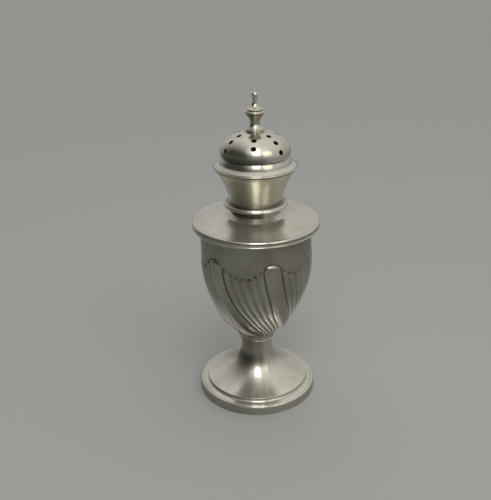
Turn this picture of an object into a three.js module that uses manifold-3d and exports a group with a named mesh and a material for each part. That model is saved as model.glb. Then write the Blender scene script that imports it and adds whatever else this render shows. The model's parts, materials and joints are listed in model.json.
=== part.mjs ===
// Urn-shaped salt caster of raised silver sheet, on a stepped foot, with a pull-off pierced cover.
// Millimetres and degrees, +Z up, origin at the centre of the foot's resting face.
// A turn of 0 faces the front (-Y) and a positive turn goes to the right of it (+X).

import * as THREE from "three";
import { mergeVertices } from "three/addons/utils/BufferGeometryUtils.js";
import Module from "manifold-3d";

// Sheet, clearances and how finely round pieces are cut
const sheet = 0.9;
const sleeveClearance = 0.15;
const flangeClearance = 0.15;
const wireClearance = 0.02;
const spigotClearance = 0.12;
const tangClearance = 0.1;
const roundSegments = 32;
const smallSegments = 16;
const curveSteps = 4;
const sweepSteps = 6;
const wireSteps = 2;

// Foot
const footRadius = 25.15;
const footBandHeight = 3.2;
const footBandWall = 1.2;
const footBandTaper = 0.2;
const treadWidth = 3.35;
const mouldingHeight = 1.9;
const mouldingLip = 0.75;
const mouldingGroove = 0.25;
const treadRise = 0.3;
const trumpetSeat = 1.8;
const trumpetEdge = 0.75;
const trumpetHeight = 18.85;
const stemRadius = 6.5;

// Boss between stem and bowl
const bossHeight = 3.45;
const bossBead = 0.35;
const bossSpread = 0.8;
const spigotDepth = 2;

// Bowl
const bowlHeight = 47.2;
const bowlRadius = 22.3;
const bowlStraight = 12.6;
const bowlTipDepth = 5.9;
const bowlFullness = 1.88;
const bowlRoundness = 0.73;
const bowlFloor = 1.6;

// Chased flutes of the bowl: broad lobes with narrow flutes between them, swirling as they descend
const lobeTurns = [-45.5, 17.5, 77, 136.5, 196, 255.5];
const lobeWidth = 18;
const narrowFlutes = 7;
const lobeSwell = 0.45;
const fluteRise = 0.25;
const fluteGroove = 0.35;
const plainBand = 7;
const archRise = 2.3;
const garlandDip = 4;
const borderWidth = 1.1;
const swirlTurn = 5.9;
const swirlLength = 14.6;

// Bead, shoulder and neck
const beadHeight = 0.8;
const beadOverhang = 0.55;
const shoulderOverhang = 3.5;
const shoulderEdge = 1.9;
const shoulderSlope = 0.22;
const shoulderFillet = 3.5;
const lipWidth = 1.55;
const lipHeight = 0.9;
const lipSeat = 0.4;
const lipOverhang = 0.1;
const neckBore = 9.1;
const neckStraight = 3.2;
const neckRingHeight = 2;
const neckRingRim = 1.35;
const neckRingBead = 0.4;

// Cover
const sleeveLength = 8;
const sleeveWall = 0.75;
const flangeWidth = 1.5;
const flangeThickness = 0.4;
const collarHeight = 14;
const collarStep = 0.2;
const collarFlare = 1.2;
const collarMouth = 16.5;
const girdleOverhang = 0.25;
const girdleEdge = 0.4;
const girdleRise = 1.75;
const girdleShelf = 2.45;
const girdleBandHeight = 3.45;
const girdleBandSwell = 0.4;
const wireHeight = 0.5;
const wireWidth = 0.9;
const wireOverhang = 0.15;
const domeRise = 8.37;
const domeDrop = 1.15;
const crownBorder = 0.05;
const holeRadius = 0.95;
const holeTurns = [-56, -3, 46, 97.5, 149, 200.5, 252];
const longColumn = [59, 39, 14];
const shortColumn = [51, 30];

// Finial
const finialFoot = 3.85;
const finialStep = 0.45;
const finialFootHeight = 1.6;
const finialWaist = 1.86;
const finialCupHeight = 6.2;
const finialDisc = 4.1;
const finialDiscHeight = 1.25;
const finialSkirtHeight = 3.6;
const finialStem = 0.92;
const finialCollarLip = 0.15;
const finialCollarHeight = 0.3;
const finialBall = 1.24;
const tangRadius = 1.2;
const rivetRadius = 2;
const rivetHeight = 0.9;

// Radii that follow from a neighbour
const trumpetRadius = footRadius - footBandTaper - treadWidth;
const stemBore = stemRadius - sheet;
const bowlBore = bowlRadius - fluteGroove - sheet;
const beadRadius = bowlRadius + beadOverhang;
const shoulderRadius = bowlRadius + shoulderOverhang;
const lipInner = shoulderRadius - lipWidth;
const neckRadius = neckBore + sheet;
const flangeRadius = neckRadius + flangeWidth;
const ringRecess = flangeRadius + flangeClearance;
const neckRingRadius = ringRecess + neckRingRim;
const sleeveRadius = neckBore - sleeveClearance;
const sleeveBore = sleeveRadius - sleeveWall;
const collarWaist = neckRadius + collarStep;
const collarBore = collarWaist - sheet;
const girdleFlange = collarMouth + girdleOverhang;
const wireRadius = girdleFlange + wireOverhang;
const domeRadius = collarMouth - girdleShelf;
const bandRadius = domeRadius - 2 * girdleBandSwell;
const girdleBore = bandRadius - girdleBandSwell;
const crownRadius = finialFoot + crownBorder;

// Levels, each resting on the one below
const mouldingBase = footBandHeight;
const trumpetBase = mouldingBase + mouldingHeight;
const stemTop = trumpetBase + trumpetHeight;
const bowlBase = stemTop + bossHeight;
const bowlTop = bowlBase + bowlHeight;
const belly = bowlTop - bowlStraight;
const archSpring = bowlTop - plainBand - archRise;
const beadTop = bowlTop + beadHeight;
const lipBase = beadTop + shoulderEdge;
const discTop = lipBase + lipSeat;
const neckCorner = discTop + shoulderSlope * (lipInner - neckRadius);
const neckTop = neckCorner + neckStraight;
const coverSeat = neckTop + neckRingHeight;
const collarBase = coverSeat + flangeThickness;
const girdleBase = collarBase + collarHeight;
const wireBase = girdleBase + girdleEdge;
const bandBase = girdleBase + girdleRise;
const domeBase = bandBase + girdleBandHeight;
const domeCentre = domeBase + domeDrop;
const crownTop = domeCentre + domeRise * Math.sqrt(1 - (crownRadius / domeRadius) ** 2);
const crownUnder = crownTop - sheet;

const wasm = await Module();
wasm.setup();

const silver = new THREE.MeshStandardMaterial({ color: 0xb9b6ab, metalness: 1, roughness: 0.28 });
const shadedSilver = new THREE.MeshStandardMaterial({ color: 0xa8a497, metalness: 1, roughness: 0.34 });
const hiddenSilver = new THREE.MeshStandardMaterial({ color: 0x9a978c, metalness: 1, roughness: 0.45 });

const group = new THREE.Group();

function radians(degrees) {
  return THREE.MathUtils.degToRad(degrees);
}

function addPiece(name, geometry, material) {
  const piece = new THREE.Mesh(geometry, material);
  piece.name = name;
  group.add(piece);
}

// A closed outline of radius and height, turned round the Z axis
function turned(outline, segments = roundSegments, steps = curveSteps) {
  return new THREE.LatheGeometry(outline.getPoints(steps), segments).rotateX(Math.PI / 2);
}

function outlineFrom(radius, height) {
  return new THREE.Path().moveTo(radius, height);
}

function solidOf(geometry) {
  const bare = geometry.clone();
  bare.deleteAttribute("normal");
  bare.deleteAttribute("uv");
  const merged = mergeVertices(bare, 1e-4);
  return new wasm.Manifold(
    new wasm.Mesh({
      numProp: 3,
      vertProperties: merged.attributes.position.array,
      triVerts: new Uint32Array(merged.index.array),
    }),
  );
}

function geometryOf(solid) {
  const cut = solid.getMesh();
  return new THREE.BufferGeometry()
    .setAttribute("position", new THREE.BufferAttribute(cut.vertProperties, 3))
    .setIndex(new THREE.BufferAttribute(cut.triVerts, 1));
}

// The upright strip that stands on the table
function footBand() {
  const inner = footRadius - footBandWall;
  const outline = outlineFrom(inner, 0)
    .lineTo(footRadius, 0)
    .lineTo(footRadius - footBandTaper, mouldingBase)
    .lineTo(inner, mouldingBase)
    .lineTo(inner, 0);
  return turned(outline);
}

// Rounded edge, fine groove, flat tread and cove riser, seated on the band
function footMoulding() {
  const edge = footRadius - footBandTaper;
  const lipTop = mouldingBase + mouldingLip;
  const seat = trumpetRadius - trumpetSeat;
  const outline = outlineFrom(seat + sheet, mouldingBase)
    .lineTo(edge, mouldingBase)
    .quadraticCurveTo(edge, lipTop, edge - sheet, lipTop)
    .lineTo(edge - sheet - mouldingGroove, lipTop - mouldingGroove)
    .lineTo(edge - sheet - 2 * mouldingGroove, lipTop)
    .lineTo(trumpetRadius + sheet, lipTop + treadRise)
    .quadraticCurveTo(trumpetRadius, lipTop + treadRise, trumpetRadius, trumpetBase)
    .lineTo(seat, trumpetBase)
    .lineTo(seat, trumpetBase - sheet)
    .lineTo(seat + sheet, mouldingBase);
  return turned(outline);
}

// The raised trumpet, hollow underneath: it sweeps in from its skirt and rises straight into the stem
function footDome() {
  const sweepIn = 0.62;
  const sweepLift = 0.12;
  const throat = 0.5;
  const seat = trumpetRadius - trumpetSeat;
  const edgeTop = trumpetBase + trumpetEdge;
  const skirt = edgeTop + sweepLift * trumpetHeight;
  const throatLevel = stemTop - throat * trumpetHeight;
  const outline = outlineFrom(seat, trumpetBase)
    .lineTo(trumpetRadius, trumpetBase)
    .lineTo(trumpetRadius, edgeTop)
    .bezierCurveTo(sweepIn * trumpetRadius, skirt, stemRadius, throatLevel, stemRadius, stemTop)
    .lineTo(stemBore, stemTop)
    .bezierCurveTo(stemBore, throatLevel, sweepIn * seat, skirt - sheet, seat, trumpetBase);
  return turned(outline, roundSegments, sweepSteps);
}

// Bead, waist and spread seat for the bowl, with a spigot in the stem
function bowlBoss() {
  const spigot = stemBore - spigotClearance;
  const beadBulge = stemRadius + 1.4 * bossBead;
  const beadEnd = stemTop + 2 * bossBead;
  const outline = outlineFrom(0, stemTop - spigotDepth)
    .lineTo(spigot, stemTop - spigotDepth)
    .lineTo(spigot, stemTop)
    .lineTo(stemRadius, stemTop)
    .quadraticCurveTo(beadBulge, stemTop + bossBead, stemRadius, beadEnd)
    .quadraticCurveTo(stemRadius, bowlBase - bossBead, stemRadius + bossSpread, bowlBase)
    .lineTo(0, bowlBase);
  return turned(outline);
}

// Radius of the bowl's plain wall: it closes towards the base and runs straight above the belly
function bowlWall(height) {
  const depth = Math.max(0, belly - height) / (belly - bowlBase + bowlTipDepth);
  return bowlRadius * Math.pow(1 - Math.pow(depth, bowlFullness), bowlRoundness);
}

// How far a flute has swirled round, in degrees, at a height
function swirl(height) {
  return swirlTurn * (Math.exp((belly - height) / swirlLength) - 1);
}

// One column for each ridge, groove and lobe facet: its turn, the top of its flute and its relief
function fluteColumns() {
  const columns = [];
  const lobeFacets = 4;
  lobeTurns.forEach((centre, index) => {
    const next = index + 1 < lobeTurns.length ? lobeTurns[index + 1] : lobeTurns[0] + 360;
    for (let facet = 0; facet < lobeFacets; facet++) {
      const across = (2 * facet) / lobeFacets - 1;
      const arch = Math.sqrt(1 - across * across);
      columns.push({
        turn: centre + (across * lobeWidth) / 2,
        top: archSpring + archRise * arch,
        relief: (lobeSwell + fluteGroove) * arch - fluteGroove,
      });
    }
    const start = centre + lobeWidth / 2;
    const span = next - lobeWidth / 2 - start;
    for (let half = 0; half < 2 * narrowFlutes; half++) {
      const along = half / (2 * narrowFlutes);
      const fromMiddle = 2 * along - 1;
      columns.push({
        turn: start + along * span,
        top: archSpring - garlandDip * (1 - fromMiddle * fromMiddle),
        relief: half % 2 ? fluteRise : -fluteGroove,
      });
    }
  });
  return columns;
}

// The fluted outside as a closed solid: rows of vertices that follow the swirl, and two end faces
function bowlOutside() {
  const columns = fluteColumns();
  const fluteRows = 10;
  const plainRows = 2;
  const rings = [];
  for (let row = 0; row < fluteRows; row++) {
    rings.push(columns.map((column) => {
      const height = THREE.MathUtils.lerp(bowlBase, column.top - borderWidth, row / (fluteRows - 1));
      const wall = bowlWall(height);
      return [column.turn + swirl(height), wall + column.relief * (wall / bowlRadius), height];
    }));
  }
  for (let row = 0; row <= plainRows; row++) {
    rings.push(columns.map((column) => {
      const height = THREE.MathUtils.lerp(column.top, bowlTop, row / plainRows);
      return [column.turn + swirl(Math.min(height, column.top)), bowlWall(height), height];
    }));
  }
  const positions = [];
  rings.flat().forEach(([turn, radius, height]) => {
    positions.push(radius * Math.sin(radians(turn)), -radius * Math.cos(radians(turn)), height);
  });
  const count = columns.length;
  const bottomCentre = positions.length / 3;
  positions.push(0, 0, bowlBase, 0, 0, bowlTop);
  const topCentre = bottomCentre + 1;
  const lastRing = (rings.length - 1) * count;
  const faces = [];
  for (let column = 0; column < count; column++) {
    const beside = (column + 1) % count;
    for (let ring = 0; ring + 1 < rings.length; ring++) {
      const low = ring * count;
      const high = low + count;
      faces.push(low + column, low + beside, high + beside);
      faces.push(low + column, high + beside, high + column);
    }
    faces.push(bottomCentre, beside, column);
    faces.push(topCentre, lastRing + column, lastRing + beside);
  }
  return new THREE.BufferGeometry()
    .setAttribute("position", new THREE.Float32BufferAttribute(positions, 3))
    .setIndex(faces);
}

// The smooth hollow inside the bowl, cut past its rim; its rows crowd towards the floor
function bowlInside() {
  const steps = 8;
  const crowding = 1.4;
  const floor = bowlBase + bowlFloor;
  const outline = outlineFrom(0, floor);
  for (let step = 0; step <= steps; step++) {
    const height = floor + (bowlTop - floor) * Math.pow(step / steps, crowding);
    outline.lineTo(bowlWall(height) - fluteGroove - sheet, height);
  }
  outline
    .lineTo(bowlBore, bowlTop + sheet)
    .lineTo(0, bowlTop + sheet);
  return turned(outline);
}

function bowl() {
  return geometryOf(solidOf(bowlOutside()).subtract(solidOf(bowlInside())));
}

function bowlBead() {
  const half = beadHeight / 2;
  const bulge = beadRadius + 0.4 * half;
  const outline = outlineFrom(bowlBore, bowlTop)
    .lineTo(beadRadius - half, bowlTop)
    .quadraticCurveTo(bulge, bowlTop, beadRadius, bowlTop + half)
    .quadraticCurveTo(bulge, beadTop, beadRadius - half, beadTop)
    .lineTo(bowlBore, beadTop)
    .lineTo(bowlBore, bowlTop);
  return turned(outline, roundSegments, wireSteps);
}

// The wide disc, its concave rise and the straight neck
function shoulder() {
  const coveDepth = 0.65;
  const filletShare = 0.6;
  const filletEdge = neckRadius + shoulderFillet;
  const filletBase = discTop + shoulderSlope * (lipInner - filletEdge);
  const filletTop = neckCorner + filletShare * neckStraight;
  const underRim = discTop + shoulderSlope * (lipInner - bowlBore) - sheet;
  const outline = outlineFrom(bowlBore, beadTop)
    .lineTo(beadRadius - beadHeight / 2, beadTop)
    .quadraticCurveTo(beadRadius, beadTop + coveDepth * shoulderEdge, shoulderRadius, lipBase - lipSeat)
    .lineTo(shoulderRadius, lipBase)
    .lineTo(lipInner, lipBase)
    .lineTo(lipInner, discTop)
    .lineTo(filletEdge, filletBase)
    .quadraticCurveTo(neckRadius, neckCorner, neckRadius, filletTop)
    .lineTo(neckRadius, neckTop)
    .lineTo(neckBore, neckTop)
    .lineTo(neckBore, filletTop - sheet)
    .quadraticCurveTo(neckBore, neckCorner - sheet, filletEdge, filletBase - sheet)
    .lineTo(bowlBore, underRim)
    .lineTo(bowlBore, beadTop);
  return turned(outline);
}

// The round wire soldered on the disc's edge
function shoulderLip() {
  const inner = lipInner + wireClearance;
  const outer = shoulderRadius + lipOverhang;
  const crest = lipBase + lipHeight;
  const outline = outlineFrom(inner, lipBase)
    .lineTo(outer, lipBase)
    .quadraticCurveTo(outer, crest, shoulderRadius - lipWidth / 2, crest)
    .quadraticCurveTo(inner, crest, inner, lipBase + lipSeat)
    .lineTo(inner, lipBase);
  return turned(outline, roundSegments, wireSteps);
}

// Flares out of the neck and ends in a bead, with a recess that the cover's flange sits in
function neckRing() {
  const beadShare = 0.6;
  const flareTop = neckTop + beadShare * neckRingHeight;
  const crest = coverSeat + neckRingBead;
  const beadInner = neckRingRadius - neckRingBead;
  const beadMiddle = (flareTop + crest) / 2;
  const outline = outlineFrom(neckBore, neckTop)
    .lineTo(neckRadius, neckTop)
    .quadraticCurveTo(neckRadius, flareTop, beadInner, flareTop)
    .quadraticCurveTo(neckRingRadius + neckRingBead, beadMiddle, beadInner, crest)
    .lineTo(ringRecess + flangeClearance, crest)
    .lineTo(ringRecess, coverSeat)
    .lineTo(neckBore, coverSeat)
    .lineTo(neckBore, neckTop);
  return turned(outline);
}

// The sleeve that pushes into the neck, chamfered at its mouth, and its seating flange
function coverBezel() {
  const sleeveEnd = coverSeat - sleeveLength;
  const outline = outlineFrom(sleeveBore, sleeveEnd)
    .lineTo(sleeveRadius - sleeveClearance, sleeveEnd)
    .lineTo(sleeveRadius, sleeveEnd + sleeveWall)
    .lineTo(sleeveRadius, coverSeat)
    .lineTo(flangeRadius, coverSeat)
    .lineTo(flangeRadius, collarBase)
    .lineTo(sleeveBore, collarBase)
    .lineTo(sleeveBore, sleeveEnd);
  return turned(outline);
}

// Small foot flare, narrow waist and wide mouth under the girdle
function coverCollar() {
  const lowerPull = 0.95;
  const upperPull = 3.3;
  const mouthWall = 1.6 * sheet;
  const lower = collarBase + 0.44 * collarHeight;
  const upper = collarBase + 0.84 * collarHeight;
  const waist = collarBase + collarFlare;
  const lowerOut = collarWaist + lowerPull;
  const upperOut = collarMouth - upperPull;
  const mouthBore = collarMouth - mouthWall;
  const outline = outlineFrom(collarBore, collarBase)
    .lineTo(flangeRadius - flangeClearance, collarBase)
    .quadraticCurveTo(collarWaist, collarBase, collarWaist, waist)
    .bezierCurveTo(lowerOut, lower, upperOut, upper, collarMouth, girdleBase)
    .lineTo(mouthBore, girdleBase)
    .bezierCurveTo(upperOut - sheet, upper, lowerOut - sheet, lower, collarBore, waist)
    .lineTo(collarBore, collarBase);
  return turned(outline, roundSegments, sweepSteps);
}

// Flange with a seat for its edge wire, concave rise, and the swelled band under the dome
function girdle() {
  const coveFoot = 0.9;
  const coveRise = 0.6;
  const bandEdge = bandRadius + girdleBandSwell / 2;
  const bandFoot = bandBase + girdleBandSwell;
  const wireInner = wireRadius - wireWidth;
  const outline = outlineFrom(girdleBore, girdleBase)
    .lineTo(girdleFlange, girdleBase)
    .lineTo(girdleFlange, wireBase)
    .lineTo(wireInner, wireBase)
    .lineTo(wireInner, wireBase + girdleEdge)
    .quadraticCurveTo(bandRadius + coveFoot, girdleBase + coveRise * girdleRise, bandEdge, bandBase)
    .lineTo(bandRadius, bandFoot)
    .quadraticCurveTo(domeRadius, (bandFoot + domeBase) / 2, bandEdge, domeBase)
    .lineTo(girdleBore, domeBase)
    .lineTo(girdleBore, girdleBase);
  return turned(outline);
}

// The round wire soldered on the girdle's edge
function girdleEdgeWire() {
  const inner = wireRadius - wireWidth + wireClearance;
  const crest = wireBase + wireHeight;
  const outline = outlineFrom(inner, wireBase)
    .lineTo(wireRadius, wireBase)
    .quadraticCurveTo(wireRadius, crest, wireRadius - wireWidth / 2, crest)
    .quadraticCurveTo(inner, crest, inner, wireBase + wireHeight / 2)
    .lineTo(inner, wireBase);
  return turned(outline, roundSegments, wireSteps);
}

// Points on an elliptical shell, from one height above the dome's centre to another
function shellArc(reach, rise, fromHeight, toHeight) {
  const steps = 7;
  const from = Math.asin(fromHeight / rise);
  const to = Math.asin(toHeight / rise);
  return Array.from({ length: steps + 1 }, (_, step) => {
    const angle = THREE.MathUtils.lerp(from, to, step / steps);
    return new THREE.Vector2(reach * Math.cos(angle), domeCentre + rise * Math.sin(angle));
  });
}

// The dome before piercing, with a flat crown and the hole for the finial's tang
function domeShell() {
  const bore = tangRadius + tangClearance;
  const outer = shellArc(domeRadius, domeRise, -domeDrop, crownTop - domeCentre);
  const inner = shellArc(domeRadius - sheet, domeRise - sheet, crownUnder - domeCentre, -domeDrop);
  const crown = [new THREE.Vector2(bore, crownTop), new THREE.Vector2(bore, crownUnder)];
  const profile = [...outer, ...crown, ...inner, outer[0].clone()];
  return new THREE.LatheGeometry(profile, roundSegments).rotateX(Math.PI / 2);
}

// A punch through the dome, square to its surface, at a turn and a rise from the widest level
function holePunch(turn, rise) {
  const sides = 8;
  const angle = radians(rise);
  const surface = new THREE.Vector2(domeRadius * Math.cos(angle), domeRise * Math.sin(angle));
  const normal = Math.atan2(Math.sin(angle) / domeRise, Math.cos(angle) / domeRadius);
  return new THREE.CylinderGeometry(holeRadius, holeRadius, 4 * sheet, sides)
    .rotateZ(normal - Math.PI / 2)
    .translate(surface.x, surface.y, 0)
    .rotateX(Math.PI / 2)
    .rotateZ(radians(turn - 90))
    .translate(0, 0, domeCentre);
}

function dome() {
  let solid = solidOf(domeShell());
  holeTurns.forEach((turn, column) => {
    const rises = column % 2 ? shortColumn : longColumn;
    rises.forEach((rise) => {
      solid = solid.subtract(solidOf(holePunch(turn, rise)));
    });
  });
  return geometryOf(solid);
}

// Turned knob: stepped foot, waisted cup, disc with bead, concave skirt, stem, fine collar and ball
function finial() {
  const footTop = crownTop + finialFootHeight;
  const cupTop = footTop + finialCupHeight;
  const knobTop = cupTop + finialDiscHeight;
  const skirtTop = knobTop + finialSkirtHeight;
  const collarTop = skirtTop + finialCollarHeight;
  const footLevel = (share) => crownTop + share * finialFootHeight;
  const cupLevel = (share) => footTop + share * finialCupHeight;
  const knobLevel = (share) => cupTop + share * finialDiscHeight;
  const skirtLevel = (share) => knobTop + share * finialSkirtHeight;
  const rivetBase = crownUnder - rivetHeight;
  const stepRadius = finialFoot - finialStep;
  const cupRadius = finialDisc - finialStep;
  const skirtRadius = finialDisc - 1.5 * finialStep;
  const collarRadius = finialStem + finialCollarLip;
  const neck = 0.6 * finialBall;
  const ballCentre = collarTop + Math.sqrt(finialBall ** 2 - neck ** 2);
  const outline = outlineFrom(0, rivetBase)
    .quadraticCurveTo(rivetRadius, rivetBase, rivetRadius, crownUnder)
    .lineTo(tangRadius, crownUnder)
    .lineTo(tangRadius, crownTop)
    .lineTo(finialFoot, crownTop)
    .lineTo(finialFoot, footLevel(0.4))
    .lineTo(stepRadius, footLevel(0.45))
    .lineTo(stepRadius, footLevel(0.85))
    .lineTo(stepRadius - finialStep, footTop)
    .quadraticCurveTo(finialWaist, cupLevel(0.1), finialWaist, cupLevel(0.3))
    .quadraticCurveTo(finialWaist, cupLevel(0.65), cupRadius, cupTop)
    .lineTo(finialDisc, knobLevel(0.25))
    .lineTo(finialDisc, knobLevel(0.5))
    .lineTo(skirtRadius, knobLevel(0.7))
    .lineTo(skirtRadius, knobTop)
    .quadraticCurveTo(finialStem, skirtLevel(0.35), finialStem, skirtLevel(0.7))
    .lineTo(finialStem, skirtTop)
    .lineTo(collarRadius, skirtTop)
    .lineTo(collarRadius, collarTop)
    .lineTo(neck, collarTop)
    .absarc(0, ballCentre, finialBall, -Math.acos(neck / finialBall), Math.PI / 2, false);
  return turned(outline, smallSegments);
}

addPiece("foot_band", footBand(), shadedSilver);
addPiece("foot_moulding", footMoulding(), silver);
addPiece("foot_dome", footDome(), silver);
addPiece("bowl_boss", bowlBoss(), shadedSilver);
addPiece("bowl", bowl(), shadedSilver);
addPiece("bowl_bead", bowlBead(), silver);
addPiece("shoulder", shoulder(), silver);
addPiece("shoulder_lip", shoulderLip(), silver);
addPiece("neck_ring", neckRing(), silver);
addPiece("cover_bezel", coverBezel(), hiddenSilver);
addPiece("cover_collar", coverCollar(), shadedSilver);
addPiece("girdle", girdle(), silver);
addPiece("girdle_wire", girdleEdgeWire(), silver);
addPiece("dome", dome(), silver);
addPiece("finial", finial(), silver);

export default group;
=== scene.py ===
import json
import math

import bmesh
import bpy
from mathutils import Matrix, Vector


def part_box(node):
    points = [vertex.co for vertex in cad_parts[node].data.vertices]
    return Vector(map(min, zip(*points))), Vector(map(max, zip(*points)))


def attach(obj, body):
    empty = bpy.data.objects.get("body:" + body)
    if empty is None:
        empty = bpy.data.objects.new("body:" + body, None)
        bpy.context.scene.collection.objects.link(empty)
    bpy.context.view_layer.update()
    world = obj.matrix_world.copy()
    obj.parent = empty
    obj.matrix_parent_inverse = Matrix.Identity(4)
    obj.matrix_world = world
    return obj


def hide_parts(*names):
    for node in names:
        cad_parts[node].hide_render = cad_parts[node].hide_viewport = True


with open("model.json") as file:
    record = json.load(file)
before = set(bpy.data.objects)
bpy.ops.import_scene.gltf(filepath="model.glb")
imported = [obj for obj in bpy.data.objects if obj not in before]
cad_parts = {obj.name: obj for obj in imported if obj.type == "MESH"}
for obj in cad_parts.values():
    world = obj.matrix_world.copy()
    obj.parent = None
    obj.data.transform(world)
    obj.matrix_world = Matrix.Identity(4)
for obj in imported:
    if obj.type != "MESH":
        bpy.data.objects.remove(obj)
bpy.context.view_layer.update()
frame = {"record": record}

# Outlines are in millimetres, as (radius, height) round the Z axis, and become metres in a mesh.
# A turn is in degrees: 0 faces the front (-Y) and a positive turn goes to the right of it (+X).
MM = 0.001

# A length or radius below this counts as none, in millimetres
TINY = 1e-6

# How finely round pieces are cut
WIDE_SEGMENTS = 224
SMALL_SEGMENTS = 96
HOLE_SEGMENTS = 28
SHARP_ANGLE = math.radians(38)

# Edge softening and sheet, in millimetres
SOFT_EDGE = 0.14
BRACE = 0.15
SHEET = 0.9

# Sizes that neighbouring pieces share, in millimetres. BOWL_RAISE is how much higher the bowl begins than its
# plain solid does, which makes the waist below it that much taller.
STEM_RADIUS = 6.5
BOWL_RAISE = 0.9
NECK_RADIUS = 10.0
LIP_WIDTH = 1.6
LIP_STEP = 1.3
RIM_OVERHANG = 0.2
WIRE_WIDTH = 0.9
WIRE_RISE = 0.64

# Flutes of the bowl, in degrees and millimetres. From LOW_DROP below the belly they grow taller, the painted
# darkening in their grooves changes, and their crowns gain painted sheen, and are fully so after another
# LOW_LENGTH.
LOBE_TURNS = (-45.5, 17.5, 77.0, 136.5, 196.0, 255.5)
LOBE_WIDTH = 18.0
LOBE_SPREAD = 3.5
LOBE_STEPS = 28
LOBE_SWELL = 0.52
LOBE_BORDER = 0.3
NARROW_FLUTES = 5
FLUTE_STEPS = 16
FLUTE_RISE = 0.2
FLUTE_GROOVE = 0.32
LOW_DROP = 8.0
LOW_LENGTH = 18.0
LOW_RISE = 0.15

# Plain band above the flutes, the dashed garland along their tops, and how deep a groove is all black, in
# millimetres. The black is part tarnishing, part painted shade.
PLAIN_BAND = 7.0
ARCH_RISE = 2.3
GARLAND_DIP = 4.0
GARLAND_DASHES = 7
DASH_RISE = 0.3
BORDER_FADE = 0.3
TARNISH_AND_SHADE_DEPTH = 0.36

# Swirl and outline of the bowl, in degrees and millimetres. Its lower end is drawn in by TIP_TUCK, from
# TUCK_HEIGHT above its base and fully so TUCK_LENGTH below that.
SWIRL_TURN = 5.9
SWIRL_LENGTH = 14.6
BELLY_DROP = 12.6
TIP_DEPTH = 7.2
TIP_TUCK = 0.9
TUCK_HEIGHT = 5.6
TUCK_LENGTH = 4.0
FULLNESS = 1.88
ROUNDNESS = 0.73

# Dome and its pouring holes, in millimetres and degrees
DOME_RISE = 8.37
DOME_DROP = 1.185
HOLE_RADIUS = 1.05
HOLE_TURNS = (-58.0, -3.0, 46.0, 97.5, 149.0, 200.5, 252.0)
LONG_COLUMN = (59.0, 39.0, 14.0)
SHORT_COLUMN = (51.0, 30.0)

# Camera, in millimetres and degrees, with the focal length in pixels of the photograph's frame
IMAGE_WIDTH = 491
FOCAL_PIXELS = 720.45
CAMERA_PLACE = (0.0, -273.5, 185.3)
CAMERA_PITCH = 23.818
CAMERA_YAW = -0.921
CAMERA_ROLL = -0.901

# Colours
# Polished silver, of wear and of painted sheen
POLISHED_AND_SHEEN = (0.86, 0.84, 0.75)
# Black of tarnishing and of painted shade
BLACKENED_AND_SHADE = (0.06, 0.055, 0.045)
FLOOR_GREY = (0.37, 0.37, 0.36, 1.0)

behaviour = frame["record"]["behaviour"]
BODY_OF = {node: body for body, nodes in behaviour["bodies"].items() for node in nodes}


def radius_of(node):
    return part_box(node)[1].x / MM


def base_of(node):
    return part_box(node)[0].z / MM


def top_of(node):
    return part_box(node)[1].z / MM


# Curves for outlines


def mix(low, high, share):
    return low + (high - low) * share


def eased(share):
    share = min(1.0, max(0.0, share))
    return share * share * (3 - 2 * share)


def weighted(weights, points):
    return tuple(sum(weight * point[axis] for weight, point in zip(weights, points)) for axis in (0, 1))


def bend(start, control, end, steps=14):
    """Points of a curve pulled towards one control point."""
    points = []
    for step in range(steps + 1):
        share = step / steps
        rest = 1 - share
        weights = (rest ** 2, 2 * share * rest, share * share)
        points.append(weighted(weights, (start, control, end)))
    return points


def sweep(start, first, second, end):
    """Points of a curve pulled towards two control points."""
    steps = 28
    points = []
    for step in range(steps + 1):
        share = step / steps
        rest = 1 - share
        weights = (rest ** 3, 3 * share * rest ** 2, 3 * share * share * rest, share ** 3)
        points.append(weighted(weights, (start, first, second, end)))
    return points


def arc(centre, reach, rise, start, end, steps=20):
    """Points of an elliptical arc between two angles in degrees."""
    points = []
    for step in range(steps + 1):
        angle = math.radians(mix(start, end, step / steps))
        points.append((centre[0] + reach * math.cos(angle), centre[1] + rise * math.sin(angle)))
    return points


def softened(outline, size=SOFT_EDGE, closed=True):
    """Rounds each corner that turns by more than 25 degrees, away from the axis."""
    nearly_straight = math.radians(155)
    most_of_side = 0.45
    count = len(outline)
    result = []
    for index, corner in enumerate(outline):
        at_end = not closed and index in (0, count - 1)
        if at_end or corner[0] < TINY:
            result.append(corner)
            continue
        before = Vector(outline[index - 1]) - Vector(corner)
        after = Vector(outline[(index + 1) % count]) - Vector(corner)
        if before.length < TINY or after.length < TINY:
            continue
        if before.angle(after) > nearly_straight:
            result.append(corner)
            continue
        start = Vector(corner) + before.normalized() * min(size, most_of_side * before.length)
        end = Vector(corner) + after.normalized() * min(size, most_of_side * after.length)
        result.extend(bend(tuple(start), corner, tuple(end), steps=4))
    return result


def braced(outline):
    """Adds a point close to each end of a long straight run, so that it shades flat between its corners."""
    long_run = 6 * BRACE
    result = []
    following = outline[1:] + outline[:1]
    for start, end in zip(outline, following):
        result.append(start)
        run = math.dist(start, end)
        if run > long_run and (start[0] > TINY or end[0] > TINY):
            for share in (BRACE / run, 1 - BRACE / run):
                result.append((mix(start[0], end[0], share), mix(start[1], end[1], share)))
    return result


# Meshes


def smooth(mesh):
    mesh.polygons.foreach_set("use_smooth", [True] * len(mesh.polygons))
    mesh.set_sharp_from_angle(angle=SHARP_ANGLE)
    mesh.update()


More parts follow.
